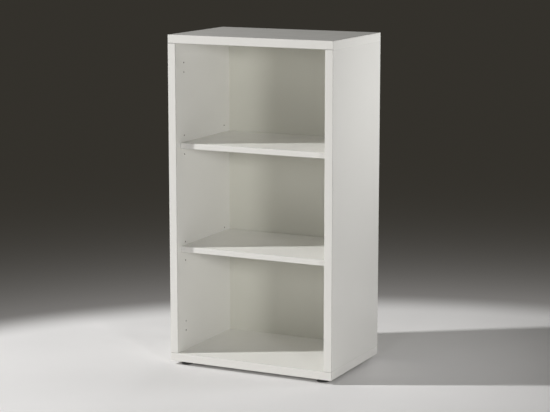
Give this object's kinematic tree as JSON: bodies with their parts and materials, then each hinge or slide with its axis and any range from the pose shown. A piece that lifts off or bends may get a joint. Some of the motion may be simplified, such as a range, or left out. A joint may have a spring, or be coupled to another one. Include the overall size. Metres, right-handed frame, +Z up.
{
  "type": "bookcase",
  "caption": "Open upright bookcase: white faced boards with edging, shelves on hidden fittings, drilled side rows, thin rear panel and low levelling feet.",
  "frame": {"origin": "on the floor under the middle of the case", "axes": "+X to the right seen from the open front, +Y to the back, +Z up; the open front faces -Y"},
  "size_m": [0.6, 0.39, 1.125],
  "materials": {
    "white_board": "white melamine facing, satin, fine pearl texture",
    "white_edging": "white plastic edging, satin",
    "white_back": "white lacquered thin board, satin",
    "beech_dowel": "plain beech",
    "zinc_steel": "zinc-plated steel",
    "white_plastic": "moulded white plastic",
    "black_plastic": "moulded black plastic",
    "sleeve_plastic": "moulded dark plastic"
  },
  "bodies": {
    "carcass": {"top_board": "white_board", "bottom_board": "white_board", "left_side_board": "white_board", "right_side_board": "white_board", "top_front_edging": "white_edging", "top_left_edging": "white_edging", "top_right_edging": "white_edging", "bottom_front_edging": "white_edging", "bottom_left_edging": "white_edging", "bottom_right_edging": "white_edging", "left_side_front_edging": "white_edging", "right_side_front_edging": "white_edging", "back_panel": "white_back", "back_panel_screws": "zinc_steel", "top_left_joint_dowels": "beech_dowel", "top_right_joint_dowels": "beech_dowel", "bottom_left_joint_dowels": "beech_dowel", "bottom_right_joint_dowels": "beech_dowel", "upper_shelf_front_left_bolt": "zinc_steel", "upper_shelf_rear_left_bolt": "zinc_steel", "upper_shelf_front_right_bolt": "zinc_steel", "upper_shelf_rear_right_bolt": "zinc_steel", "lower_shelf_front_left_stud": "zinc_steel", "lower_shelf_rear_left_stud": "zinc_steel", "lower_shelf_front_right_stud": "zinc_steel", "lower_shelf_rear_right_stud": "zinc_steel", "front_left_foot_sleeve": "sleeve_plastic", "rear_left_foot_sleeve": "sleeve_plastic", "front_right_foot_sleeve": "sleeve_plastic", "rear_right_foot_sleeve": "sleeve_plastic"},
    "upper_shelf": {"upper_shelf": "white_board", "upper_shelf_front_edging": "white_edging", "upper_shelf_front_left_housing": "white_plastic", "upper_shelf_rear_left_housing": "white_plastic", "upper_shelf_front_right_housing": "white_plastic", "upper_shelf_rear_right_housing": "white_plastic"},
    "lower_shelf": {"lower_shelf": "white_board", "lower_shelf_front_edging": "white_edging"},
    "front_left_foot": {"front_left_foot_pad": "black_plastic"},
    "front_left_spindle": {"front_left_foot_spindle": "zinc_steel"},
    "rear_left_foot": {"rear_left_foot_pad": "black_plastic"},
    "rear_left_spindle": {"rear_left_foot_spindle": "zinc_steel"},
    "front_right_foot": {"front_right_foot_pad": "black_plastic"},
    "front_right_spindle": {"front_right_foot_spindle": "zinc_steel"},
    "rear_right_foot": {"rear_right_foot_pad": "black_plastic"},
    "rear_right_spindle": {"rear_right_foot_spindle": "zinc_steel"}
  },
  "joints": [
    {"name": "upper_shelf_lift", "type": "slide", "parent": "carcass", "child": "upper_shelf", "axis": [0, 0, 1], "range_m": [0, 0.3]},
    {"name": "lower_shelf_pull", "type": "slide", "parent": "carcass", "child": "lower_shelf", "axis": [0, -1, 0], "range_m": [0, 0.39]},
    {"name": "front_left_foot_height", "type": "slide", "parent": "carcass", "child": "front_left_foot", "axis": [0, 0, -1], "range_m": [0, 0.00975]},
    {"name": "front_left_foot_turn", "type": "hinge", "parent": "front_left_foot", "child": "front_left_spindle", "pos_m": [-0.255, -0.16, 0], "axis": [0, 0, -1], "range_deg": [0, 2700]},
    {"name": "rear_left_foot_height", "type": "slide", "parent": "carcass", "child": "rear_left_foot", "axis": [0, 0, -1], "range_m": [0, 0.00975]},
    {"name": "rear_left_foot_turn", "type": "hinge", "parent": "rear_left_foot", "child": "rear_left_spindle", "pos_m": [-0.255, 0.16, 0], "axis": [0, 0, -1], "range_deg": [0, 2700]},
    {"name": "front_right_foot_height", "type": "slide", "parent": "carcass", "child": "front_right_foot", "axis": [0, 0, -1], "range_m": [0, 0.00975]},
    {"name": "front_right_foot_turn", "type": "hinge", "parent": "front_right_foot", "child": "front_right_spindle", "pos_m": [0.255, -0.16, 0], "axis": [0, 0, -1], "range_deg": [0, 2700]},
    {"name": "rear_right_foot_height", "type": "slide", "parent": "carcass", "child": "rear_right_foot", "axis": [0, 0, -1], "range_m": [0, 0.00975]},
    {"name": "rear_right_foot_turn", "type": "hinge", "parent": "rear_right_foot", "child": "rear_right_spindle", "pos_m": [0.255, 0.16, 0], "axis": [0, 0, -1], "range_deg": [0, 2700]}
  ],
  "couplings": [
    {"joint": "front_left_foot_turn", "follows": "front_left_foot_height", "rad_per_m": 4188.8},
    {"joint": "rear_left_foot_turn", "follows": "rear_left_foot_height", "rad_per_m": 4188.8},
    {"joint": "front_right_foot_turn", "follows": "front_right_foot_height", "rad_per_m": 4188.8},
    {"joint": "rear_right_foot_turn", "follows": "rear_right_foot_height", "rad_per_m": 4188.8}
  ]
}
